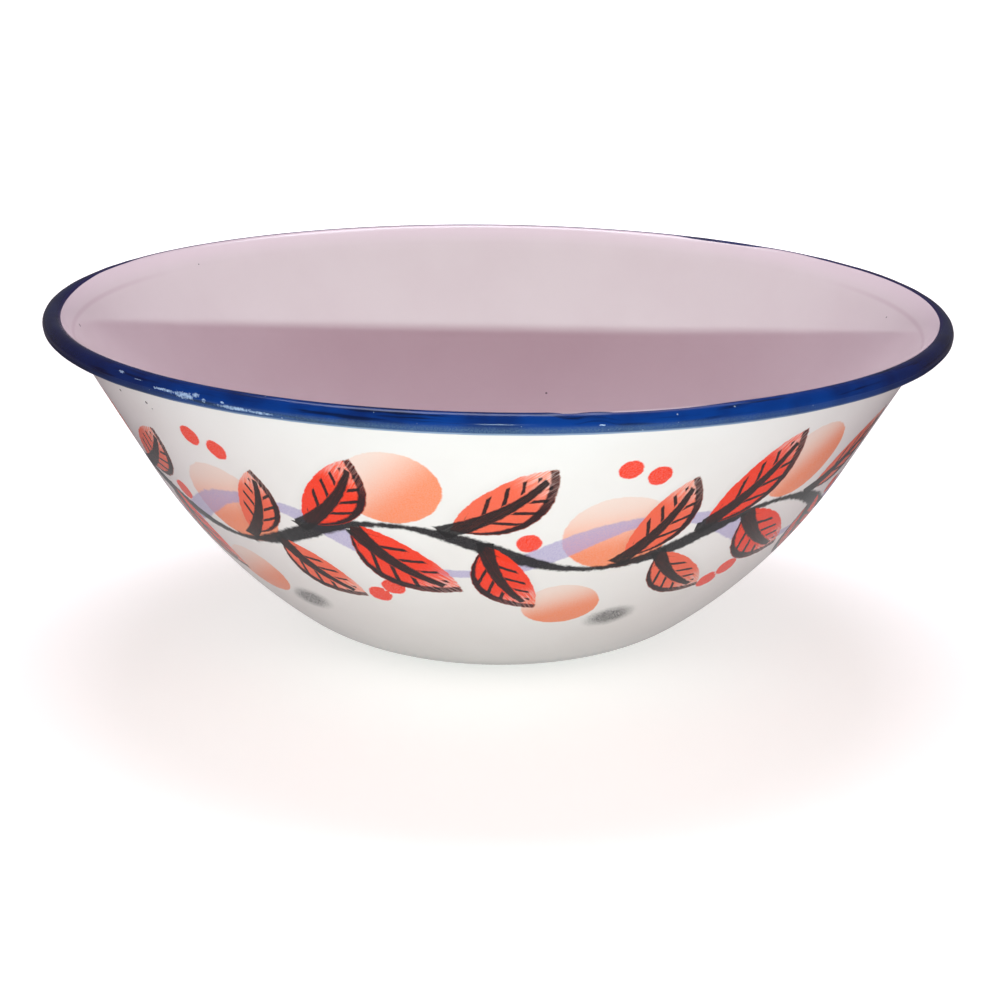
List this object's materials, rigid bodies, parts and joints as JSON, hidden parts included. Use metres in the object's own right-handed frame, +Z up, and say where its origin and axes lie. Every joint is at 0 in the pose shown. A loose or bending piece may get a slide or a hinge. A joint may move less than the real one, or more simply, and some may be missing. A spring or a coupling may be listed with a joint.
{
  "type": "enamel basin bowl",
  "caption": "Round enamelled steel basin bowl with a flared side, a rolled rim bead in a dark colour, a pink inside and a printed white outside.",
  "frame": {"origin": "centre of the foot, on the surface that the bowl stands on", "axes": "+Z up along the bowl's axis; +X and +Y in the plane of the table, with the pictured side of the bowl towards -Y"},
  "size_m": [0.3, 0.3, 0.111],
  "materials": {
    "steel": "pickled sheet steel, hidden under glass coats, seen only in chips",
    "ground_coat": "blue-black fused ground coat, seen only in specks and chips",
    "inside_enamel": "gloss opaque dusty pink vitreous enamel",
    "outside_enamel": "gloss opaque white vitreous enamel with a fired-on print of leaves, round fruit, a dark vine and a lilac ribbon",
    "rim_enamel": "gloss cobalt blue vitreous enamel, worn and speckled along the bead"
  },
  "bodies": {
    "root": {"steel_body": "steel", "ground_coat_inside": "ground_coat", "ground_coat_outside": "ground_coat", "inside_enamel": "inside_enamel", "outside_enamel": "outside_enamel", "rim_enamel": "rim_enamel"}
  },
  "joints": []
}
